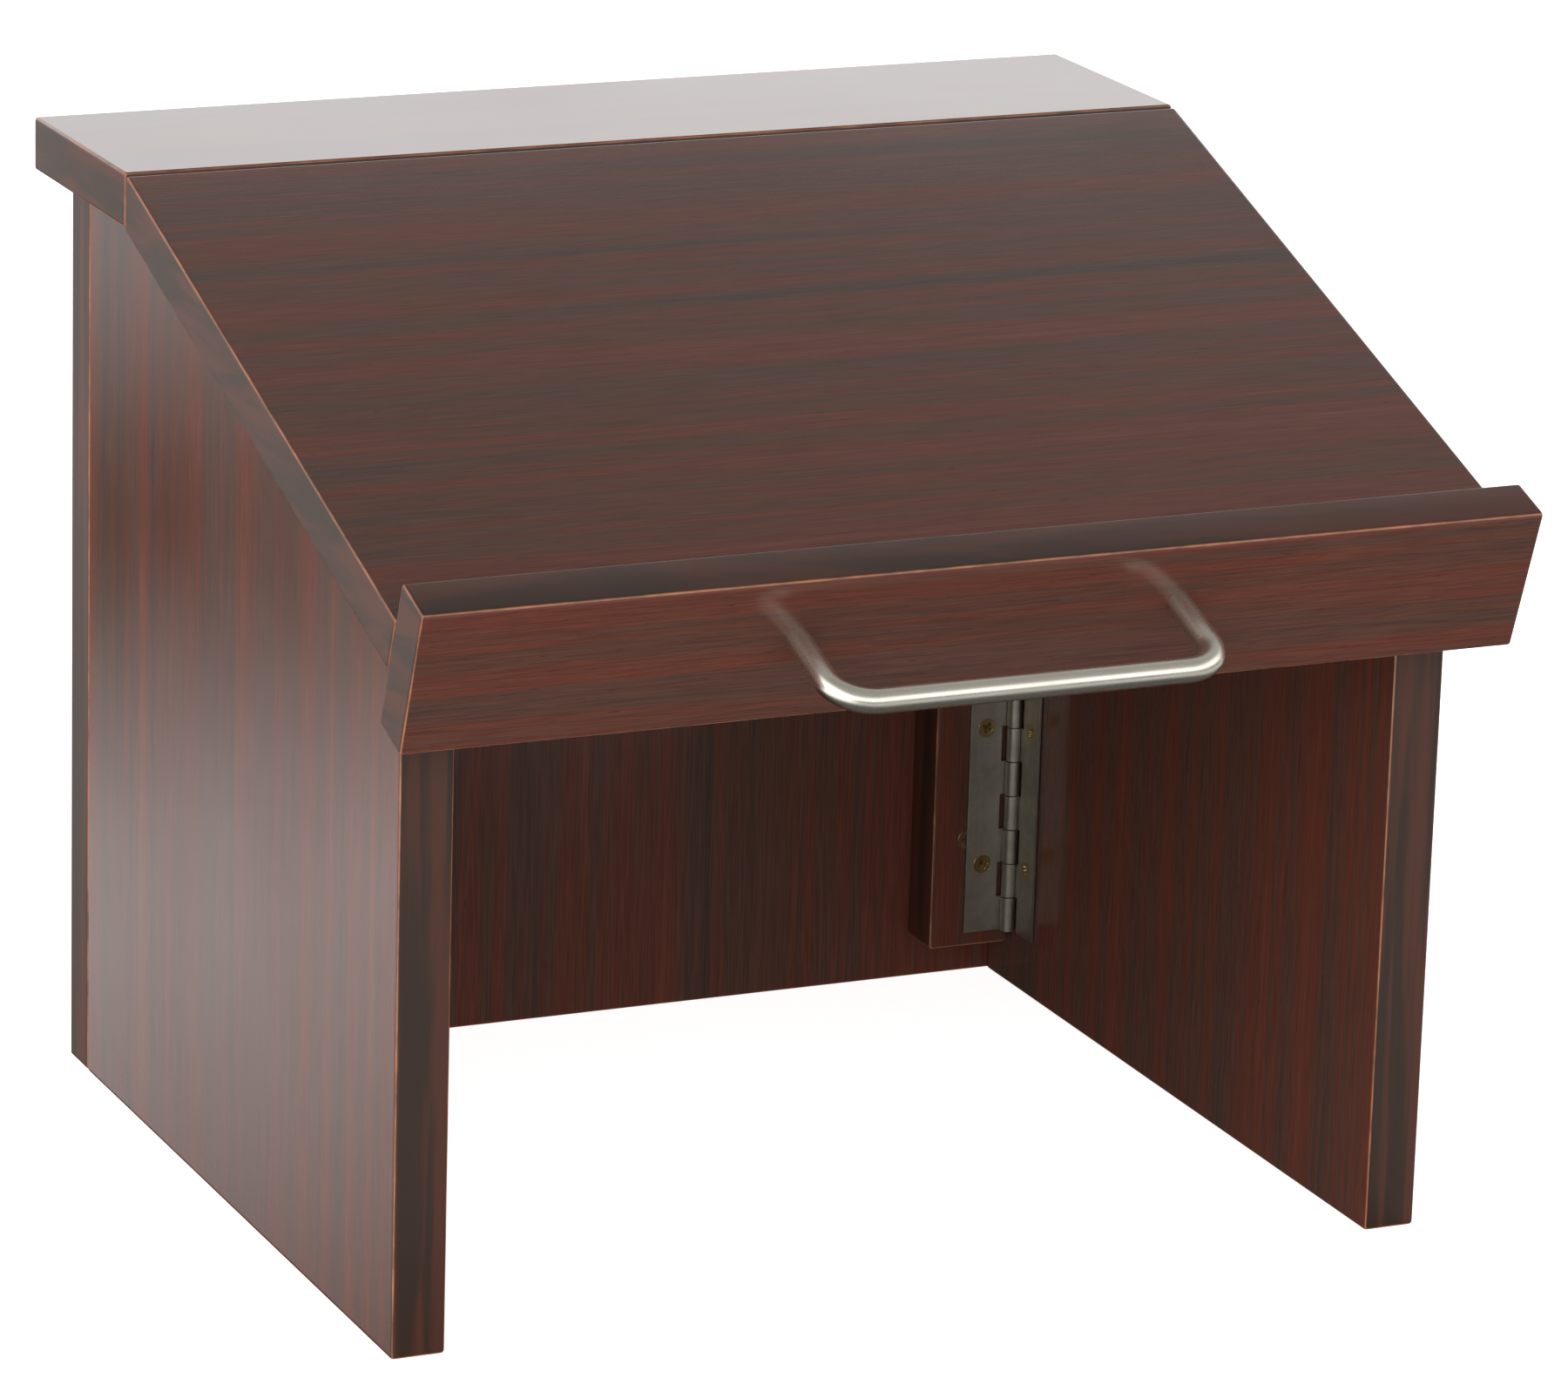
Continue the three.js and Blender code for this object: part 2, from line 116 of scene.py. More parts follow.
def makeCamera(c):
    # back points from the aim to the camera; right and up are turned about it by the roll
    az = math.radians(c["azimuth"])
    el = math.radians(c["elevation"])
    roll = math.radians(c["roll"])
    back = Vector((math.sin(az) * math.cos(el), -math.cos(az) * math.cos(el), math.sin(el)))
    right = (-back).cross(Vector((0, 0, 1))).normalized()
    up = right.cross(-back)
    right, up = (
        math.cos(roll) * right + math.sin(roll) * up,
        math.cos(roll) * up - math.sin(roll) * right,
    )
    data = bpy.data.cameras.new("camera")
    data.lens = c["lens"]
    data.sensor_width = c["sensor"]
    data.clip_start = c["clipStart"]
    camera = bpy.data.objects.new("camera", data)
    turn = Matrix((right, up, back)).transposed().to_4x4()
    camera.matrix_world = Matrix.Translation(Vector(c["aim"]) + c["distance"] * back) @ turn
    bpy.context.scene.collection.objects.link(camera)
    bpy.context.scene.camera = camera


makeCamera(cameraSet)
print("camera made")


# A surface is a pair: its points, one row of x, y, z each, and its faces as lists of point numbers.
def placed(points, place):
    # each point turned, scaled and moved by a frame
    return points @ place[:3, :3].T + place[:3, 3]


def ringFaces(rings, count):
    # quads between neighbouring closed rings, and a cap on the first and the last ring
    low = np.arange(rings - 1)[:, None] * count
    here = np.arange(count)[None, :]
    there = (here + 1) % count
    quads = np.stack([low + here, low + there, low + count + there, low + count + here], axis=-1)
    caps = [list(range(count))[::-1], list(range((rings - 1) * count, rings * count))]
    return quads.reshape(-1, 4).tolist() + caps


def joined(surfaces):
    # several (points, faces) as one
    points = []
    faces = []
    start = 0
    for somePoints, someFaces in surfaces:
        points.append(somePoints)
        faces += [[start + i for i in face] for face in someFaces]
        start += len(somePoints)
    return np.concatenate(points), faces


def finishMesh(mesh, sharpAngle=38):
    mesh.polygons.foreach_set("use_smooth", [True] * len(mesh.polygons))
    mesh.set_sharp_from_angle(angle=math.radians(sharpAngle))
    mesh.update()


def makeMesh(name, points, faces, marks=None):
    mesh = bpy.data.meshes.new(name)
    mesh.from_pydata(points.tolist(), [], faces)
    for markName, values in (marks or {}).items():
        layer = mesh.attributes.new(markName, "FLOAT", "POINT")
        layer.data.foreach_set("value", values.astype(np.float32))
    finishMesh(mesh)
    return mesh


def showPiece(name, mesh, material, body, nodes):
    piece = bpy.data.objects.new(name, mesh)
    bpy.context.scene.collection.objects.link(piece)
    mesh.materials.clear()
    mesh.materials.append(material)
    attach(piece, body)
    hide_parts(*nodes)


def cutAway(mesh, cutters, place):
    # The mesh with every cutter's volume taken out in one go. Cutters are (points, faces), given in the
    # frame that place brings to the mesh's own.
    points, faces = joined(cutters)
    work = bpy.data.objects.new("work", mesh)
    helper = bpy.data.objects.new("cutter", makeMesh("cutter", placed(points, place), faces))
    for item in (work, helper):
        bpy.context.scene.collection.objects.link(item)
    cut = work.modifiers.new("cut", "BOOLEAN")
    cut.operation = "DIFFERENCE"
    cut.solver = "EXACT"
    cut.use_self = True
    cut.object = helper
    bpy.context.view_layer.update()
    seen = work.evaluated_get(bpy.context.evaluated_depsgraph_get())
    result = bpy.data.meshes.new_from_object(seen)
    for item in (work, helper):
        bpy.data.objects.remove(item)
    result.name = mesh.name
    finishMesh(result)
    return result


def roundedOutline(corners, radius, steps):
    # Each corner becomes an arc: its centre lies radius inside both edges, and its points are
    # centre + radius * normal, the normal turning from one edge's to the next. Hollow corners bend
    # the other way. Corners run counter-clockwise. Returns the points and their outward normals.
    corner = np.array(corners, float)
    before = corner - np.roll(corner, 1, axis=0)
    after = np.roll(corner, -1, axis=0) - corner
    before /= np.linalg.norm(before, axis=1)[:, None]
    after /= np.linalg.norm(after, axis=1)[:, None]
    turn = np.arctan2(before[:, 0] * after[:, 1] - before[:, 1] * after[:, 0], (before * after).sum(1))
    first = np.arctan2(-before[:, 0], before[:, 1])
    angle = first[:, None] + turn[:, None] * np.linspace(0, 1, steps)[None, :]
    normal = np.stack([np.cos(angle), np.sin(angle)], axis=-1)
    side = np.sign(turn)[:, None]
    between = np.stack([before[:, 1] + after[:, 1], -before[:, 0] - after[:, 0]], axis=-1)
    centre = corner - side * between * radius / (1 + np.cos(turn))[:, None]
    points = centre[:, None, :] + side[:, :, None] * radius * normal
    return points.reshape(-1, 2), normal.reshape(-1, 2)


def plate(outline, normals, low, high, arris, steps, hold, faceAxis=2):
    # An outline carried from height low to high. Near each end it is drawn in by arris * (1 - sin t)
    # at height arris * (1 - cos t), t from 0 to a quarter turn, and a flat ring of width hold stands
    # on both sides of that rounding. Marks come from the surface's direction there: edge is the angle
    # away from faceAxis, 0 on the broad faces and 1 on the edges, and worn peaks on the rounded arrises.
    t = np.linspace(0, math.pi / 2, steps)
    inset = np.concatenate([[arris + hold], arris * (1 - np.sin(t)), [0]])
    rise = np.concatenate([[0], arris * (1 - np.cos(t)), [arris + hold]])
    lean = np.concatenate([[0], t, [math.pi / 2]])
    inset = np.concatenate([inset, inset[::-1]])
    level = np.concatenate([low + rise, high - rise[::-1]])
    lean = np.concatenate([lean, math.pi - lean[::-1]])
    flat = outline[None, :, :] - inset[:, None, None] * normals[None, :, :]
    tall = np.broadcast_to(level[:, None, None], flat.shape[:2] + (1,))
    points = np.concatenate([flat, tall], axis=-1).reshape(-1, 3)
    sideways = normals[None, :, :] * np.sin(lean)[:, None, None]
    upright = np.broadcast_to(-np.cos(lean)[:, None, None], tall.shape)
    away = np.abs(np.concatenate([sideways, upright], axis=-1)).reshape(-1, 3)
    edge = np.arccos(np.clip(away[:, faceAxis], 0, 1)) / (math.pi / 2)
    worn = np.clip((1 - away.max(axis=1)) / (1 - math.sqrt(0.5)), 0, 1)
    return points, ringFaces(len(level), len(outline)), {"edge": edge, "worn": worn}


def turnedSurface(radius, level, count):
    # A profile turned about Z: radius and level are arrays along the profile from its low end, radius
    # may also change with the angle. Returns a closed surface.
    angle = np.linspace(0, 2 * math.pi, count, endpoint=False)
    radius = np.broadcast_to(radius.reshape(len(level), -1), (len(level), count))
    level = np.broadcast_to(level[:, None], radius.shape)
    points = np.stack([radius * np.cos(angle), radius * np.sin(angle), level], axis=-1)
    return points.reshape(-1, 3), ringFaces(len(level), count)


def prism(lowCorner, highCorner):
    # a plain box, only used to cut with
    x, y, z = np.meshgrid(*[[a, b] for a, b in zip(lowCorner, highCorner)], indexing="ij")
    points = np.stack([x, y, z], axis=-1).reshape(-1, 3)
    faces = [[0, 1, 3, 2], [4, 6, 7, 5], [0, 4, 5, 1], [2, 3, 7, 6], [0, 2, 6, 4], [1, 5, 7, 3]]
    return points, faces


# Patterns are laid on object coordinates in metres, so each keeps its real size on every piece.
def newMaterial(name):
    material = bpy.data.materials.new(name)
    material.use_nodes = True
    tree = material.node_tree
    tree.nodes.clear()
    output = tree.nodes.new("ShaderNodeOutputMaterial")
    shader = tree.nodes.new("ShaderNodeBsdfPrincipled")
    tree.links.new(shader.outputs[0], output.inputs[0])
    return material, tree, shader


def objectPlace(tree, scale, location=(0, 0, 0)):
    # object coordinates, stretched
    place = tree.nodes.new("ShaderNodeTexCoord")
    mapping = tree.nodes.new("ShaderNodeMapping")
    mapping.inputs["Scale"].default_value = scale
    mapping.inputs["Location"].default_value = location
    tree.links.new(place.outputs["Object"], mapping.inputs["Vector"])
    return mapping.outputs[0]


def noise(tree, vector, scale, detail=2.0, roughness=0.5, distortion=0.0):
    node = tree.nodes.new("ShaderNodeTexNoise")
    node.inputs["Scale"].default_value = scale
    node.inputs["Detail"].default_value = detail
    node.inputs["Roughness"].default_value = roughness
    node.inputs["Distortion"].default_value = distortion
    tree.links.new(vector, node.inputs["Vector"])
    return node.outputs["Fac"]


def spreadOut(tree, value, fromLow, fromHigh, toLow, toHigh):
    # a value moved from one range to another and held there
    node = tree.nodes.new("ShaderNodeMapRange")
    node.inputs["From Min"].default_value = fromLow
    node.inputs["From Max"].default_value = fromHigh
    node.inputs["To Min"].default_value = toLow
    node.inputs["To Max"].default_value = toHigh
    tree.links.new(value, node.inputs["Value"])
    return node.outputs["Result"]


def ramp(tree, value, stops):
    node = tree.nodes.new("ShaderNodeValToRGB")
    node.color_ramp.interpolation = "EASE"
    elements = node.color_ramp.elements
    while len(elements) < len(stops):
        elements.new(0.5)
    for element, (position, colour) in zip(elements, stops):
        element.position = position
        element.color = (*colour, 1)
    tree.links.new(value, node.inputs["Fac"])
    return node.outputs["Color"]


def mixed(tree, amount, first, second, way="MIX"):
    # first and second are sockets or plain colours
    node = tree.nodes.new("ShaderNodeMix")
    node.data_type = "RGBA"
    node.blend_type = way
    node.clamp_factor = True
    inputs = [node.inputs[0], node.inputs[6], node.inputs[7]]
    for socket, given in zip(inputs, (amount, first, second)):
        if isinstance(given, bpy.types.NodeSocket):
            tree.links.new(given, socket)
        elif isinstance(given, tuple):
            socket.default_value = (*given, 1)
        else:
            socket.default_value = given
    return node.outputs[2]


def maths(tree, way, first, second):
    # first and second are sockets or plain numbers
    node = tree.nodes.new("ShaderNodeMath")
    node.operation = way
    for socket, given in zip(node.inputs, (first, second)):
        if isinstance(given, bpy.types.NodeSocket):
            tree.links.new(given, socket)
        else:
            socket.default_value = given
    return node.outputs[0]


def mark(tree, name):
    # a value that the mesh carries at its points
    node = tree.nodes.new("ShaderNodeAttribute")
    node.attribute_name = name
    return node.outputs["Fac"]


def bump(tree, shader, height, distance):
    node = tree.nodes.new("ShaderNodeBump")
    node.inputs["Distance"].default_value = distance
    tree.links.new(height, node.inputs["Height"])
    tree.links.new(node.outputs[0], shader.inputs["Normal"])


laminateSet = {
    "bandWidth": 0.013,  # metres across the grain
    "bandLength": 0.8,
    "bandShare": 0.62,
    "streakWidth": 0.0030,
    "streakLength": 0.30,
    "streakShare": 0.38,
    "fibreWidth": 0.0006,
    "fibreLength": 0.022,
    "fibreShade": (0.66, 0.64, 0.64),
    "poreWidth": 0.0005,
    "poreLength": 0.007,
    "poreFrom": (0.70, 0.78),  # noise values where pores begin and are full
    "poreStrength": 0.55,
    "pore": (0.018, 0.010, 0.008),
    "dark": (0.066, 0.040, 0.031),
    "brown": (0.094, 0.043, 0.030),
    "red": (0.125, 0.038, 0.024),
    "pale": (0.150, 0.050, 0.031),
    "stops": (0.34, 0.46, 0.56, 0.70),  # of dark, brown, red and pale
    "edgeDark": (0.030, 0.014, 0.007),
    "edgeRed": (0.068, 0.018, 0.008),
    "edgeStops": (0.40, 0.60),
    "edgeFrom": (0.45, 0.75),  # values of the edge mark where the edge band takes over
    "edgeSizes": {0: (0.16, 0.06, 0.009), 2: (0.006, 0.006, 0.16)},  # by the axis of the grain
    "edgeOffset": (0.3, 0.7, 0.1),
    "edgeRoughness": 0.5,
    "arris": (0.44, 0.165, 0.072),
    "rubScale": 70,
    "rubLeast": 0.45,
    "wornFrom": (0.25, 0.8),
    "wornMost": 0.92,
    "wornRoughness": 0.15,
    "roughness": (0.12, 0.18),
    "smearScale": 9,
    "peelSize": 0.0009,
    "peelHeight": 0.00000015,
    "ior": 1.5,
}


def laminate(name, grain, offset, s=laminateSet):
    # Printed mahogany under clear satin lacquer. grain is the axis that the bands run along. Broad
    # bands choose between dark, brown and red, narrow streaks shade them, and fibre lines cut in.
    material, tree, shader = newMaterial(name)

    def stretched(width, length, location=(0, 0, 0)):
        scale = tuple(1 / length if i == grain else 1 / width for i in range(3))
        return objectPlace(tree, scale, location)

    band = noise(tree, stretched(s["bandWidth"], s["bandLength"], offset), 1.0, 3.0, 0.55, 0.35)
    streak = noise(tree, stretched(s["streakWidth"], s["streakLength"], offset), 1.0, 3.0, 0.6)
    fibre = noise(tree, stretched(s["fibreWidth"], s["fibreLength"]), 1.0, 2.0, 0.6)
    pore = noise(tree, stretched(s["poreWidth"], s["poreLength"]), 1.0, 1.0, 0.5)
    bandPart = maths(tree, "MULTIPLY", band, s["bandShare"])
    streakPart = maths(tree, "MULTIPLY", streak, s["streakShare"])
    blend = maths(tree, "ADD", bandPart, streakPart)
    shades = (s["dark"], s["brown"], s["red"], s["pale"])
    face = ramp(tree, blend, list(zip(s["stops"], shades)))
    fibreShade = spreadOut(tree, fibre, 0.3, 0.7, 0.0, 1.0)
    shaded = mixed(tree, 1.0, face, s["fibreShade"], "MULTIPLY")
    face = mixed(tree, fibreShade, shaded, face)
    poreMask = spreadOut(tree, pore, *s["poreFrom"], 0.0, s["poreStrength"])
    face = mixed(tree, poreMask, face, s["pore"])

    edgePlace = objectPlace(tree, tuple(1 / size for size in s["edgeSizes"][grain]), s["edgeOffset"])
    edgeNoise = noise(tree, edgePlace, 1.0, 3.0, 0.6, 0.3)
    edgeColour = ramp(tree, edgeNoise, list(zip(s["edgeStops"], (s["edgeDark"], s["edgeRed"]))))
    edge = mark(tree, "edge")
    onEdge = spreadOut(tree, edge, *s["edgeFrom"], 0.0, 1.0)
    colour = mixed(tree, onEdge, face, edgeColour)
    rub = noise(tree, objectPlace(tree, (s["rubScale"],) * 3), 1.0, 3.0, 0.6)
    rubbed = spreadOut(tree, rub, 0.3, 0.7, s["rubLeast"], 1.0)
    worn = maths(tree, "MULTIPLY", mark(tree, "worn"), rubbed)
    worn = spreadOut(tree, worn, *s["wornFrom"], 0.0, s["wornMost"])
    colour = mixed(tree, worn, colour, s["arris"])
    tree.links.new(colour, shader.inputs["Base Color"])

    # a little duller in smears, duller again on the edge bands and where the arrises are worn
    smear = noise(tree, objectPlace(tree, (s["smearScale"],) * 3), 1.0, 3.0, 0.55)
    gloss = spreadOut(tree, smear, 0.3, 0.7, *s["roughness"])
    edgeDull = spreadOut(tree, edge, *s["edgeFrom"], 0.0, s["edgeRoughness"] - s["roughness"][1])
    wornDull = maths(tree, "MULTIPLY", worn, s["wornRoughness"])
    dull = maths(tree, "ADD", maths(tree, "ADD", gloss, edgeDull), wornDull)
    tree.links.new(dull, shader.inputs["Roughness"])
    peel = noise(tree, objectPlace(tree, (1, 1, 1)), 1 / s["peelSize"], 1.5, 0.5)
    bump(tree, shader, peel, s["peelHeight"])
    shader.inputs["IOR"].default_value = s["ior"]
    return material


# line: width and length of the drawn lines in metres; patch: tarnish patches a metre; dull: their tone
lineHeight = 0.000001
metals = {
    "satin_steel": {
        "colour": (0.82, 0.775, 0.67),
        "rough": (0.24, 0.34),
        "line": (0.0003, 0.02),
        "patch": 60,
        "dull": 0.9,
    },
    "hinge_steel": {
        "colour": (0.60, 0.575, 0.49),
        "rough": (0.42, 0.56),
        "line": (0.0007, 0.03),
        "patch": 120,
        "dull": 0.75,
    },
    "yellow_zinc": {
        "colour": (0.62, 0.47, 0.22),
        "rough": (0.28, 0.42),
        "line": (0.0006, 0.004),
        "patch": 400,
        "dull": 0.7,
    },
    "bright_steel": {
        "colour": (0.66, 0.66, 0.65),
        "rough": (0.30, 0.42),
        "line": (0.0006, 0.004),
        "patch": 400,
        "dull": 0.7,
    },
}


def metal(name, s, lineAxis=2):
    # drawn or plated metal: fine lines along one axis, and a little tarnish in patches
    material, tree, shader = newMaterial(name)
    width, length = s["line"]
    scale = tuple(1 / length if i == lineAxis else 1 / width for i in range(3))
    line = noise(tree, objectPlace(tree, scale), 1.0, 2.0, 0.6)
    patch = noise(tree, objectPlace(tree, (s["patch"],) * 3), 1.0, 4.0, 0.6)
    dull = tuple(s["dull"] * c for c in s["colour"])
    colour = mixed(tree, spreadOut(tree, patch, 0.4, 0.7, 0.0, 1.0), s["colour"], dull)
    colour = mixed(tree, spreadOut(tree, line, 0.3, 0.7, 0.0, 0.25), colour, dull)
    tree.links.new(colour, shader.inputs["Base Color"])
    halfLine = maths(tree, "MULTIPLY", line, 0.5)
    halfPatch = maths(tree, "MULTIPLY", patch, 0.5)
    rough = maths(tree, "ADD", halfLine, halfPatch)
    tree.links.new(spreadOut(tree, rough, 0.35, 0.65, *s["rough"]), shader.inputs["Roughness"])
    shader.inputs["Metallic"].default_value = 1.0
    bump(tree, shader, line, lineHeight)
    return material


beechSet = {
    "ringScale": (500, 500, 30),
    "fleckScale": (1800, 1800, 260),
    "dark": (0.42, 0.25, 0.13),
    "pale": (0.60, 0.39, 0.22),
    "fleck": (0.22, 0.11, 0.05),
    "fleckFrom": (0.62, 0.70),
    "fleckStrength": 0.6,
    "roughness": (0.55, 0.75),
    "ringHeight": 0.00002,
}


def beechwood(name, s=beechSet):
    # turned beech: pale brown with short dark flecks along the dowel
    material, tree, shader = newMaterial(name)
    ring = noise(tree, objectPlace(tree, s["ringScale"]), 1.0, 3.0, 0.6)
    fleck = noise(tree, objectPlace(tree, s["fleckScale"]), 1.0, 1.0, 0.5)
    colour = ramp(tree, ring, [(0.35, s["dark"]), (0.65, s["pale"])])
    fleckMask = spreadOut(tree, fleck, *s["fleckFrom"], 0.0, s["fleckStrength"])
    colour = mixed(tree, fleckMask, colour, s["fleck"])
    tree.links.new(colour, shader.inputs["Base Color"])
    tree.links.new(spreadOut(tree, ring, 0.3, 0.7, *s["roughness"]), shader.inputs["Roughness"])
    bump(tree, shader, ring, s["ringHeight"])
    return material


grainAlongX = laminate("mahogany_along_x", 0, (0.0, 0.0, 0.0))
grainUpright = laminate("mahogany_upright", 2, (0.0, 0.0, 3.1))
finish = {name: metal(name, settings) for name, settings in metals.items()}
finish["satin_steel"] = metal("satin_steel_drawn", metals["satin_steel"], 0)
finish["hinge_steel_x"] = metal("hinge_steel_level", metals["hinge_steel"], 0)
finish["beech"] = beechwood("beech")
print("materials made")

# One piano hinge leaf, in millimetres: X runs from the pin to the outer edge, Z along the knuckles.
hinge = {
    "length": 254.0,
    "knuckles": 20,
    "barrel": 2.65,  # outer radius of the knuckles
    "sheet": 1.0,
    "shy": 0.01,  # the tongue's faces lie this far inside the strip's
    "width": 16.3,
    "notch": 3.9,  # pin to the sheet beside the other leaf's knuckles
    "gap": 0.3,  # between neighbouring knuckles
    "firstHole": 25.4,
    "holePitch": 50.8,
    "holes": 5,
    "holeLine": 9.9,  # pin to the row of screws
    "pin": 1.5,  # radius
    "cornerRadius": 0.22,
    "edge": 0.14,
    "rollEdge": 0.16,
    "edgeSteps": 3,
    "hold": 0.1,
    "rollTurn": 302,  # degrees that the sheet goes round the pin
    "rollSteps": 30,
    "overlap": 0.6,  # of a knuckle's tongue into the strip
    "holeRadius": 1.75,
    "headRoom": 0.1,
    "firstTurn": 17,  # degrees of each leaf's lowest screw, and from one screw to the next
    "nextTurn": 47,
}
# x and y of the side hinges' pins, and the height of their lower ends
sideHinges = {"left": (-159.55, 61.05), "right": (159.55, 42.05), "low": 21.3}
# the hinge in the seam between shelf and desk, and the room cut for it in both boards
seamHinge = {
    "pinZ": 314.65,
    "half": 127.3,
    "reach": 16.6,  # of each rebate, from the pin
    "top": 313.3,  # of the shelf's rebate
    "barrel": 3.25,  # radius of the round room for the knuckles
    "deskRoom": 1.3,  # from the barrel's underside up to the desk's rebate
    "past": 2.0,  # how far the rebates' cutters run out of the wood
    "sides": 48,
}
deskPin = placed(np.array([[0, 0, seamHinge["pinZ"] - stand["height"]]]), tilted(-stand["slope"]))[0]

# outlines in millimetres: the sides in the stand's y and z, desk and ledge in the desk's own frame
sides = {"front": -226.0, "frontTop": 232.53, "levelTop": 311.7, "slopeStart": 8.06, "rear": 63.7}
deskSet = {"front": -259.7, "seam": 0.4, "halfWidth": 190.5}
ledgeSet = {"back": -260.0, "front": -278.0, "low": -37.0, "high": 14.0}

# each board's outline plane: the first two axes carry the outline, the third its thickness
planView = axes(xAxis, yAxis, zAxis)
frontView = axes(xAxis, zAxis, -yAxis)
sideView = axes(yAxis, zAxis, xAxis)


def boardMesh(name, corners, low, high, view, place, faceAxis=2):
    # faceAxis is the outline plane's axis that the board's broad faces look along
    steps = stand["arrisSteps"]
    outline, normals = roundedOutline(corners, stand["cornerRadius"], steps)
    arris, hold = stand["arris"], stand["hold"]
    points, faces, marks = plate(outline, normals, low, high, arris, steps, hold, faceAxis)
    return makeMesh(name, placed(points, place @ view), faces, marks)


def rectangle(left, right, low, high):
    return [(left, low), (right, low), (right, high), (left, high)]


def boxOf(node):
    # a node's corners in the stand's millimetres
    low, high = (np.array(corner) * 1000 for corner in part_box(node))
    low[1] -= seamY * 1000
    high[1] -= seamY * 1000
    return low, high


def uprightBoard(name, node):
    low, high = boxOf(node)
    corners = rectangle(low[0], high[0], low[2], high[2])
    mesh = boardMesh(name, corners, -high[1], -low[1], frontView, standPlace)
    showPiece(name, mesh, grainUpright, "base", [node])


def sideBoard(name, node, body):
    low, high = boxOf(node)
    corners = [
        (sides["front"], 0),
        (sides["rear"], 0),
        (sides["rear"], sides["levelTop"]),
        (sides["slopeStart"], sides["levelTop"]),
        (sides["front"], sides["frontTop"]),
    ]
    mesh = boardMesh(name, corners, low[0], high[0], sideView, standPlace)
    showPiece(name, mesh, grainUpright, body, [node])


def barrelRoom(place):
    # the long round room for the seam hinge's knuckles, along X
    half = seamHinge["half"]
    radius = np.full(2, seamHinge["barrel"])
    points, faces = turnedSurface(radius, np.array([-half, half]), seamHinge["sides"])
    return placed(points, place @ axes(yAxis, zAxis, xAxis)), faces


def shelfBoard(name):
    low, high = boxOf("top_shelf")
    corners = rectangle(low[0], high[0], low[1], high[1])
    mesh = boardMesh(name, corners, low[2], high[2], planView, standPlace)
    half, past = seamHinge["half"], seamHinge["past"]
    rebate = prism((-half, -past, low[2] - past), (half, seamHinge["reach"], seamHinge["top"]))
    mesh = cutAway(mesh, [rebate, barrelRoom(shifted(0, 0, seamHinge["pinZ"]))], standPlace)
    showPiece(name, mesh, grainAlongX, "base", ["top_shelf"])


def deskBoard(name):
    # the back edge is plumb, so it leans in the desk's own frame
    a = math.radians(stand["slope"])
    board = stand["board"]
    backAt = [(z * math.sin(a) - deskSet["seam"]) / math.cos(a) for z in (-board, 0)]
    front = deskSet["front"]
    corners = [(front, -board), (backAt[0], -board), (backAt[1], 0), (front, 0)]
    wide = deskSet["halfWidth"]
    mesh = boardMesh(name, corners, -wide, wide, sideView, deskPlace, 1)
    half, past = seamHinge["half"], seamHinge["past"]
    rebateTop = deskPin[2] - hinge["barrel"] + seamHinge["deskRoom"]
    rebateFront = deskPin[1] - seamHinge["reach"]
    rebate = prism((-half, rebateFront, -board - past), (half, past, rebateTop))
    mesh = cutAway(mesh, [rebate, barrelRoom(shifted(*deskPin))], deskPlace)
    showPiece(name, mesh, grainAlongX, "desk", ["reading_desk"])


def ledgeBoard(name):
    s = ledgeSet
    corners = rectangle(s["front"], s["back"], s["low"], s["high"])
    half = deskSet["halfWidth"]
    mesh = boardMesh(name, corners, -half, half, sideView, deskPlace, 0)
    showPiece(name, mesh, grainAlongX, "desk", ["ledge_board"])


uprightBoard("back_board", "back_panel")
uprightBoard("batten_strip", "hinge_batten")
sideBoard("left_side_board", "left_side_panel", "left_side")
sideBoard("right_side_board", "right_side_panel", "right_side")
shelfBoard("shelf_board")
deskBoard("desk_board")
ledgeBoard("ledge_strip")
print("boards made")

# head and shank are radii, recess is half the length of the cross and deep its depth
woodScrew = {"head": 3.4, "shank": 1.5, "length": 12.5, "pitch": 1.2, "recess": 2.0, "deep": 1.3}
battenScrew = {"head": 3.35, "shank": 1.7, "length": 30.0, "pitch": 1.6, "recess": 2.1, "deep": 1.4}
machineScrew = {
    "head": 3.6,
    "tall": 2.4,
    "shank": 2.0,
    "length": 22.0,
    "pitch": 0.8,
    "recess": 2.0,
    "deep": 1.4,
}
thread = {
    "sides": 40,
    "point": 3.0,  # length of the taper
    "tip": 0.06,  # tip, core and ridge are shares of the shank's radius
    "core": 0.80,
    "ridge": 0.24,
    "sharp": 2.4,
    "plain": 1.5,  # under the head, where the ridge dies out
    "ringsPerTurn": 5,
}
# half widths of the cross recess's slots and middle, and how far their walls lean
cross = {"slot": 0.62, "wall": 0.2, "endWall": 0.55, "middle": 1.15, "middleWall": 0.3, "middleDeep": 0.85}
headRings = {"count": 15, "innermost": 0.02, "crown": 0.5}


def crossDepth(x, y, s):
    # how deep the cross recess is at a point of the head: two crossed slots with sloping walls
    near = np.minimum(np.abs(x), np.abs(y))
    far = np.maximum(np.abs(x), np.abs(y))
    slot = np.clip((cross["slot"] - near) / cross["wall"], 0, 1)
    length = np.clip((s["recess"] - far) / cross["endWall"], 0, 1)
    middle = np.clip((cross["middle"] - np.hypot(x, y)) / cross["middleWall"], 0, 1)
    return s["deep"] * np.maximum(slot * length, cross["middleDeep"] * middle)


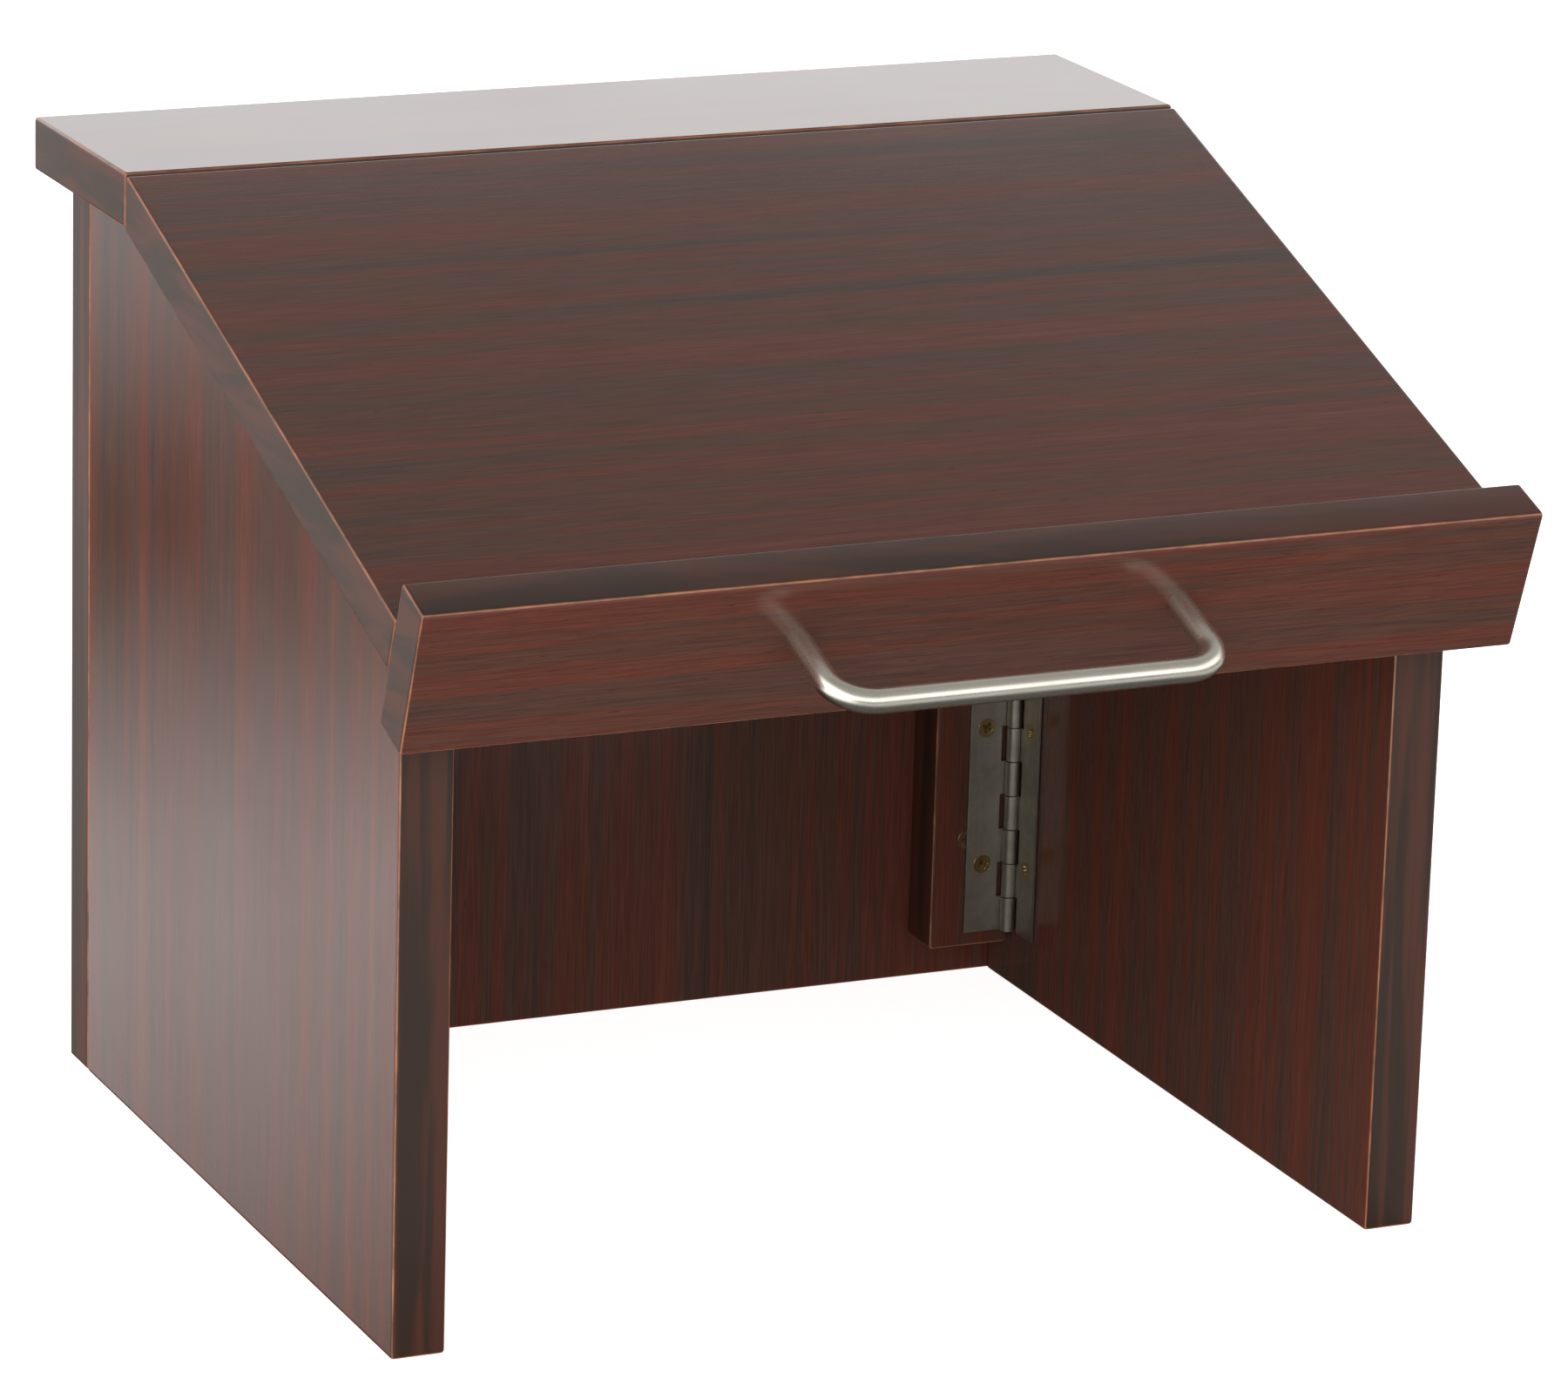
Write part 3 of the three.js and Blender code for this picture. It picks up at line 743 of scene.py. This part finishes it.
def screwSurface(s, underHead):
    # From the point up: a threaded shank whose radius is core * shank plus a ridge that climbs one
    # pitch a turn, then the head's side, then rings across its top, lowered by the cross recess.
    t = thread
    count = t["sides"]
    angle = np.linspace(0, 2 * math.pi, count, endpoint=False)[None, :]
    top = underHead[0][1]
    rings = int((s["length"] + top) / s["pitch"] * t["ringsPerTurn"])
    level = np.linspace(-s["length"], top, rings)[:, None]
    phase = (level / s["pitch"] - angle / (2 * math.pi)) % 1
    ridge = np.clip(1 - t["sharp"] * np.abs(phase - 0.5), 0, 1)
    taper = np.clip((level + s["length"]) / t["point"], t["tip"], 1)
    plain = np.clip((top - level) / t["plain"], 0, 1)
    shank = s["shank"] * taper * (t["core"] + t["ridge"] * ridge * plain)
    side = np.array(underHead)
    sideRadius = np.broadcast_to(side[:, :1], (len(side), count))
    reach = np.linspace(1, headRings["innermost"], headRings["count"])[:, None] * side[-1, 0]
    x = reach * np.cos(angle)
    y = reach * np.sin(angle)
    topLevel = side[-1, 1] - crossDepth(x, y, s)
    if "tall" in s:
        topLevel = topLevel + headRings["crown"] * (1 - (reach / side[-1, 0]) ** 2)
    radius = np.concatenate([shank, sideRadius, np.broadcast_to(reach, x.shape)])
    tall = np.concatenate([
        np.broadcast_to(level, shank.shape),
        np.broadcast_to(side[:, 1:], sideRadius.shape),
        topLevel,
    ])
    points = np.stack([radius * np.cos(angle), radius * np.sin(angle), tall], axis=-1)
    return points.reshape(-1, 3), ringFaces(len(radius), count)


def countersunkSurface(s):
    # underHead is the head's side as radius and level, from the shank up: here a cone with an eased rim
    cone = [(s["shank"], s["shank"] - s["head"]), (s["head"] - 0.15, -0.25)]
    rim = [(s["head"], -0.08), (s["head"] - 0.1, 0)]
    return screwSurface(s, cone + rim)


def panHeadSurface(s):
    # a flat underside, a short wall and a rounded shoulder, under the crown that screwSurface adds
    tall = s["tall"] - headRings["crown"]
    wall = [(s["shank"], 0), (s["head"] - 0.1, 0), (s["head"], 0.15), (s["head"], tall * 0.6)]
    shoulder = [(s["head"] * 0.93, tall * 0.88), (s["head"] * 0.82, tall)]
    return screwSurface(s, wall + shoulder)


def showFastener(name, surface, place, slot, body):
    # a screw, pin or dowel in place of the node it is named after
    points, faces = surface
    mesh = makeMesh(name, placed(points, place), faces)
    showPiece(name + "_detail", mesh, finish[slot], body, [name])


# innermost is where t starts, in radians
pinEnd = {"dome": 0.45, "rings": 7, "innermost": 0.02, "sides": 32}


def pinSurface(radius, length):
    # A straight rod whose ends are domed: radius * sin t at dome * cos t past each end, t from nearly
    # 0 in the middle of the end to a quarter turn at its rim.
    t = np.linspace(pinEnd["innermost"], math.pi / 2, pinEnd["rings"])
    radii = radius * np.sin(t)
    past = pinEnd["dome"] * np.cos(t)
    level = np.concatenate([-past, length + past[::-1]])
    return turnedSurface(np.concatenate([radii, radii[::-1]]), level, pinEnd["sides"])


dowelSet = {
    "radius": 4.0,
    "length": 30.0,
    "flutes": 18,
    "fluteDepth": 0.14,
    "fromEnd": (0.0, 0.3, 1.2, 2.2),  # levels of the eased end's rings
    "fullness": (0.70, 0.82, 0.97, 1.0),  # of the radius at each
    "fluting": (0, 0, 0.3, 1),  # of the flutes at each
    "across": (-130, 0, 130),
    "shelfPlace": (73, 294),  # y and z of their lower ends in the stand
    "ledgePlace": (-272, -9),  # and of their front ends in the desk's frame
}


def dowelSurface(s=dowelSet):
    # a fluted dowel: the radius dips by a cosine of flutes * angle, and both ends are eased
    sides = s["flutes"] * 6
    angle = np.linspace(0, 2 * math.pi, sides, endpoint=False)[None, :]
    ends = np.array(s["fromEnd"])
    level = np.concatenate([ends, s["length"] - ends[::-1]])
    full = np.array(s["fullness"] + s["fullness"][::-1])[:, None]
    fluted = np.array(s["fluting"] + s["fluting"][::-1])[:, None]
    dip = s["fluteDepth"] * fluted * (1 + np.cos(s["flutes"] * angle))
    return turnedSurface(s["radius"] * full - dip, level, sides)


# heights of the screws along a leaf
holeHeights = hinge["firstHole"] + hinge["holePitch"] * np.arange(hinge["holes"])


def stripSurface(h):
    # the flat sheet from the bottom of the notches to its outer edge
    corners = rectangle(h["notch"], h["width"], 0, h["length"])
    outline, normals = roundedOutline(corners, h["cornerRadius"], h["edgeSteps"])
    low = h["barrel"] - h["sheet"]
    points, faces, _ = plate(
        outline, normals, low, h["barrel"], h["edge"], h["edgeSteps"], h["hold"]
    )
    return placed(points, axes(xAxis, zAxis, -yAxis)), faces


def rollSurfaces(h):
    # The rolled knuckle with its tongue: the sheet's middle line runs in along X from the strip, then
    # round the pin at the barrel's radius less half a sheet. The outline is that line offset half a
    # sheet to both sides.
    middle = h["barrel"] - h["sheet"] / 2
    half = h["sheet"] / 2 - h["shy"]
    turn = np.linspace(0, math.radians(h["rollTurn"]), h["rollSteps"])
    angle = -math.pi / 2 - turn
    arc = middle * np.stack([np.cos(angle), np.sin(angle)], axis=-1)
    path = np.concatenate([[[h["notch"] + h["overlap"], -middle]], arc])
    along = np.concatenate([[[-1.0, 0.0]], np.stack([np.sin(angle), -np.cos(angle)], axis=-1)])
    right = np.stack([along[:, 1], -along[:, 0]], axis=-1)
    outline = np.concatenate([path + half * right, (path - half * right)[::-1]])
    normals = np.concatenate([right, -right[::-1]])
    count = len(path)
    for corner, forward in ((0, -1), (count - 1, 1), (count, 1), (2 * count - 1, -1)):
        normals[corner] += forward * along[corner if corner < count else 2 * count - 1 - corner]
    pitch = h["length"] / h["knuckles"]
    rolls = []
    for i in range(0, h["knuckles"], 2):
        low = i * pitch + (h["gap"] / 2 if i else 0)
        high = (i + 1) * pitch - h["gap"] / 2
        points, faces, _ = plate(
            outline, normals, low, high, h["rollEdge"], h["edgeSteps"], h["hold"]
        )
        rolls.append((points, faces))
    return rolls


def leafFace(headSide, h):
    # where the face that shows the screw heads lies along the leaf's own Y
    return h["sheet"] - h["barrel"] if headSide > 0 else -h["barrel"]


def leafSurface(name, headSide, h=hinge):
    # one leaf in its own millimetres, its holes countersunk from the side that the heads face
    strip = makeMesh(name, *stripSurface(h))
    face = leafFace(headSide, h)
    wide = woodScrew["head"] + h["headRoom"]
    hole = h["holeRadius"]
    radius = np.array([hole, hole, wide, wide])
    level = np.array([-4, hole - wide, 0, 1])  # starts and ends well clear of the sheet
    sink, sinkFaces = turnedSurface(radius, level, thread["sides"])
    sinks = []
    for z in holeHeights:
        place = facing((0, headSide, 0), (h["holeLine"], face, z))
        sinks.append((placed(sink, place), sinkFaces))
    strip = cutAway(strip, sinks, np.eye(4))
    flat = np.empty(len(strip.vertices) * 3)
    strip.vertices.foreach_get("co", flat)
    stripFaces = [list(polygon.vertices) for polygon in strip.polygons]
    return joined([(flat.reshape(-1, 3), stripFaces)] + rollSurfaces(h))


leafByHeads = {1: leafSurface("leafUp", 1), -1: leafSurface("leafDown", -1)}

half = hinge["length"] / 2
hingeHigh = sideHinges["low"] + hinge["length"]
leftLow, leftHigh = (*sideHinges["left"], sideHinges["low"]), (*sideHinges["left"], hingeHigh)
rightLow, rightHigh = (*sideHinges["right"], sideHinges["low"]), (*sideHinges["right"], hingeHigh)
seamLeft = (-half, 0, seamHinge["pinZ"])
seamRight = (half, deskPin[1], deskPin[2])

# each leaf: body, the side its heads face in its own frame, its frame, and that frame's own parent
leaves = {
    "left_hinge_fixed_leaf": ("base", 1, axes(xAxis, -yAxis, -zAxis, leftHigh), standPlace),
    "left_hinge_moving_leaf": ("left_side", 1, axes(-yAxis, xAxis, zAxis, leftLow), standPlace),
    "right_hinge_fixed_leaf": ("base", 1, axes(-xAxis, -yAxis, zAxis, rightLow), standPlace),
    "right_hinge_moving_leaf": ("right_side", 1, axes(-yAxis, -xAxis, -zAxis, rightHigh), standPlace),
    "desk_hinge_shelf_leaf": ("base", -1, axes(yAxis, zAxis, xAxis, seamLeft), standPlace),
    "desk_hinge_desk_leaf": ("desk", -1, axes(-yAxis, zAxis, -xAxis, seamRight), deskPlace),
}


def showLeaf(name, body, headSide, place, parent):
    # the leaf and its five screws, each turned a little further than the one below
    points, faces = leafByHeads[headSide]
    whole = parent @ place
    material = finish["hinge_steel_x" if name.startswith("desk") else "hinge_steel"]
    mesh = makeMesh(name, placed(points, whole), faces)
    showPiece(name + "_rolled", mesh, material, body, [name])
    face = leafFace(headSide, hinge)
    screw = countersunkSurface(woodScrew)
    for i, z in enumerate(holeHeights):
        seat = facing((0, headSide, 0), (hinge["holeLine"], face, z))
        a = math.radians(hinge["firstTurn"] + hinge["nextTurn"] * i)
        turn = axes((math.cos(a), math.sin(a), 0), (-math.sin(a), math.cos(a), 0), zAxis)
        screwName = f"{name}_screw_{i + 1}"
        showFastener(screwName, screw, whole @ seat @ turn, "yellow_zinc", body)


for leafName, (body, headSide, place, parent) in leaves.items():
    showLeaf(leafName, body, headSide, place, parent)

pinPlaces = {
    "left_hinge_pin": axes(xAxis, yAxis, zAxis, leftLow),
    "right_hinge_pin": axes(xAxis, yAxis, zAxis, rightLow),
    "desk_hinge_pin": axes(yAxis, zAxis, xAxis, seamLeft),
}
for pinName, place in pinPlaces.items():
    pin = pinSurface(hinge["pin"], hinge["length"])
    showFastener(pinName, pin, standPlace @ place, "hinge_steel", "base")
print("hinges made")

# the batten's screws: x, heights, and how far their heads stand out of its face
battenScrews = {"x": 143.6, "levels": (56, 156, 256), "proud": 0.08}
headLevel = boxOf("hinge_batten")[0][1] - battenScrews["proud"]
for i, z in enumerate(battenScrews["levels"]):
    place = standPlace @ facing((0, -1, 0), (battenScrews["x"], headLevel, z))
    showFastener(f"batten_screw_{i + 1}", countersunkSurface(battenScrew), place, "yellow_zinc", "base")
for i, x in enumerate(dowelSet["across"]):
    place = standPlace @ axes(xAxis, yAxis, zAxis, (x, *dowelSet["shelfPlace"]))
    showFastener(f"shelf_dowel_{i + 1}", dowelSurface(), place, "beech", "base")
    place = deskPlace @ facing((0, 1, 0), (x, *dowelSet["ledgePlace"]))
    showFastener(f"ledge_dowel_{i + 1}", dowelSurface(), place, "beech", "desk")

handle = {
    "centres": 130.0,
    "rod": 4.0,  # radius
    "bend": 13.0,
    "root": -277.95,  # just inside the ledge's front
    "grip": -313.5,
    "level": -7.2,
    "screwSeat": -265.7,
    "sides": 40,
    "bendSteps": 14,
    "legSteps": 9,
    "gripSteps": 25,
}


def handleSurface(h):
    # A round rod carried along leg, quarter bend, grip, quarter bend and leg, all in one plane. Its
    # section is rod * cos a across the path in that plane and rod * sin a square to the plane.
    halfSpan = h["centres"] / 2
    bend = h["bend"]
    leg = h["root"] - h["grip"] - bend
    grip = h["centres"] - 2 * bend
    t = np.linspace(0, math.pi / 2, h["bendSteps"])
    legs = np.linspace(0, 1, h["legSteps"])[:-1]
    middle = np.linspace(-0.5, 0.5, h["gripSteps"])[1:-1]
    left = np.stack([-halfSpan + 0 * legs, h["root"] - legs * leg], axis=-1)
    across = -halfSpan + bend * (1 - np.cos(t))
    forward = h["grip"] + bend * (1 - np.sin(t))
    firstBend = np.stack([across, forward], axis=-1)
    straight = np.stack([middle * grip, h["grip"] + 0 * middle], axis=-1)
    halfPath = np.concatenate([left, firstBend])
    path = np.concatenate([halfPath, straight, halfPath[::-1] * (-1, 1)])
    along = np.gradient(path, axis=0)
    along /= np.linalg.norm(along, axis=1)[:, None]
    along[0] = along[1] = (0, -1)
    along[-1] = along[-2] = (0, 1)
    sideways = np.stack([-along[:, 1], along[:, 0]], axis=-1)
    angle = np.linspace(0, 2 * math.pi, h["sides"], endpoint=False)
    flat = path[:, None, :] + h["rod"] * np.cos(angle)[None, :, None] * sideways[:, None, :]
    tall = h["level"] + h["rod"] * np.sin(angle)[None, :, None] + 0 * flat[:, :, :1]
    points = np.concatenate([flat, tall], axis=-1)
    return points.reshape(-1, 3), ringFaces(len(path), h["sides"])


points, faces = handleSurface(handle)
pull = makeMesh("pull_handle", placed(points, deskPlace), faces)
showPiece("pull_rod", pull, finish["satin_steel"], "desk", ["pull_handle"])
for i, x in enumerate((-handle["centres"] / 2, handle["centres"] / 2)):
    place = deskPlace @ facing((0, 1, 0), (x, handle["screwSeat"], handle["level"]))
    showFastener(f"handle_screw_{i + 1}", panHeadSurface(machineScrew), place, "bright_steel", "desk")
print("handle and joinery made")

# the sheets under the stand, in metres
studio = {
    "floorFront": -2.6,
    "floorBack": 3.0,
    "floorHalf": 3.0,
    "floorColour": (0.93, 0.93, 0.93),
    "floorGlow": 0.90,
    "bounceLevel": -0.001,
    "bounceGlow": 0.55,
    "cardFront": -0.2,
    "cardLevel": -0.0005,
    # painted shade: the card's dark colour stands for the shaded floor between the side panels, seen only
    # in reflections
    "shadeCardColour": (0.18, 0.13, 0.11),
    "roughness": 0.7,
    "backdrop": 1.6,
}

# The studio's soft panels, as directions seen from the stand. Each has a brightness, then the stretch
# of X, of Y and of Z that it fills: nothing, full, full, nothing.
anyWay = (-3.0, -2.0, 2.0, 3.0)
behind = (-0.1, 0.5, 2.0, 3.0)
inFront = (-3.0, -2.0, -0.1, 0.4)
softPanels = {
    "wallBehind": (2.15, anyWay, behind, (-0.02, 0.06, 0.34, 0.56)),
    "skyBehind": (0.46, anyWay, (-0.1, 0.3, 2.0, 3.0), (0.34, 0.56, 2.0, 3.0)),
    "skyBehindRight": (0.16, (0.38, 0.50, 2.0, 3.0), (-0.1, 0.3, 2.0, 3.0), (0.34, 0.56, 2.0, 3.0)),
    "softboxFront": (2.1, anyWay, (-3.0, -2.0, -0.1, 0.2), (0.08, 0.14, 0.50, 0.68)),
    "skyAbove": (0.45, anyWay, (-3.0, -2.0, -0.1, 0.2), (0.50, 0.68, 2.0, 3.0)),
    "windowLeft": (1.5, (-3.0, -2.0, -0.75, -0.5), (-3.0, -2.0, 0.6, 0.9), (-0.5, -0.2, 2.0, 3.0)),
    "tableBehindFar": (1.1, anyWay, behind, (-0.252, -0.222, -0.06, 0.02)),
    "tableBehindNear": (1.5, anyWay, behind, (-0.385, -0.310, -0.302, -0.270)),
    "tableInFront": (0.75, anyWay, inFront, (-0.60, -0.42, -0.10, -0.03)),
    "tableBelow": (0.12, anyWay, anyWay, (-3.0, -2.0, -0.60, -0.40)),
}


def flatSheet(name, low, high, level, colour, glow):
    mesh = bpy.data.meshes.new(name)
    corners = [(x, y, level) for x, y in rectangle(low[0], high[0], low[1], high[1])]
    mesh.from_pydata(corners, [], [(0, 1, 2, 3)])
    sheet = bpy.data.objects.new(name, mesh)
    bpy.context.scene.collection.objects.link(sheet)
    material, _, shader = newMaterial(name)
    shader.inputs["Base Color"].default_value = (*colour, 1)
    shader.inputs["Roughness"].default_value = studio["roughness"]
    shader.inputs["Emission Color"].default_value = (1, 1, 1, 1)
    shader.inputs["Emission Strength"].default_value = glow
    mesh.materials.append(material)
    return sheet


def makeFloor(s):
    # Three sheets share the floor's work. The camera sees the floor. The stand is lit from below by
    # the bounce sheet. Its lacquer mirrors neither: below the horizon it mirrors the soft panels, and
    # between the side panels a dark card of painted shade, seen only in reflections, that stands for
    # the shaded floor there.
    low = (-s["floorHalf"], s["floorFront"])
    high = (s["floorHalf"], s["floorBack"])
    floor = flatSheet("floor", low, high, 0, s["floorColour"], s["floorGlow"])
    floor.visible_glossy = False
    floor.visible_diffuse = False
    floor.visible_shadow = False
    bounce = flatSheet("bounce_sheet", low, high, s["bounceLevel"], s["floorColour"], s["bounceGlow"])
    bounce.visible_glossy = False
    bounce.visible_camera = False
    left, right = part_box("back_panel")
    low = (left[0], s["cardFront"])
    card = flatSheet("shade_card", low, right[:2], s["cardLevel"], s["shadeCardColour"], 0.0)
    card.visible_camera = False
    card.visible_diffuse = False
    card.visible_shadow = False


def window(tree, value, edges):
    # 1 between the two inner edges, falling to 0 at the outer ones
    lowOut, lowIn, highIn, highOut = edges
    up = spreadOut(tree, value, lowOut, lowIn, 0.0, 1.0)
    down = spreadOut(tree, value, highIn, highOut, 1.0, 0.0)
    return maths(tree, "MULTIPLY", up, down)


def makeWorld(panels):
    # Soft light by direction. The backdrop that the camera sees directly is plain white.
    world = bpy.data.worlds.new("studio")
    bpy.context.scene.world = world
    world.use_nodes = True
    tree = world.node_tree
    tree.nodes.clear()
    output = tree.nodes.new("ShaderNodeOutputWorld")
    place = tree.nodes.new("ShaderNodeTexCoord")
    split = tree.nodes.new("ShaderNodeSeparateXYZ")
    tree.links.new(place.outputs["Generated"], split.inputs[0])
    light = 0.0
    for brightness, alongX, alongY, alongZ in panels.values():
        panel = window(tree, split.outputs["X"], alongX)
        panel = maths(tree, "MULTIPLY", panel, window(tree, split.outputs["Y"], alongY))
        panel = maths(tree, "MULTIPLY", panel, window(tree, split.outputs["Z"], alongZ))
        light = maths(tree, "ADD", maths(tree, "MULTIPLY", panel, brightness), light)
    soft = tree.nodes.new("ShaderNodeBackground")
    tree.links.new(light, soft.inputs["Strength"])
    plain = tree.nodes.new("ShaderNodeBackground")
    plain.inputs["Strength"].default_value = studio["backdrop"]
    ray = tree.nodes.new("ShaderNodeLightPath")
    choose = tree.nodes.new("ShaderNodeMixShader")
    tree.links.new(ray.outputs["Is Camera Ray"], choose.inputs[0])
    tree.links.new(soft.outputs[0], choose.inputs[1])
    tree.links.new(plain.outputs[0], choose.inputs[2])
    tree.links.new(choose.outputs[0], output.inputs[0])


makeFloor(studio)
makeWorld(softPanels)
bpy.context.scene.view_settings.view_transform = "Standard"
bpy.context.scene.view_settings.look = "None"
print("studio made")
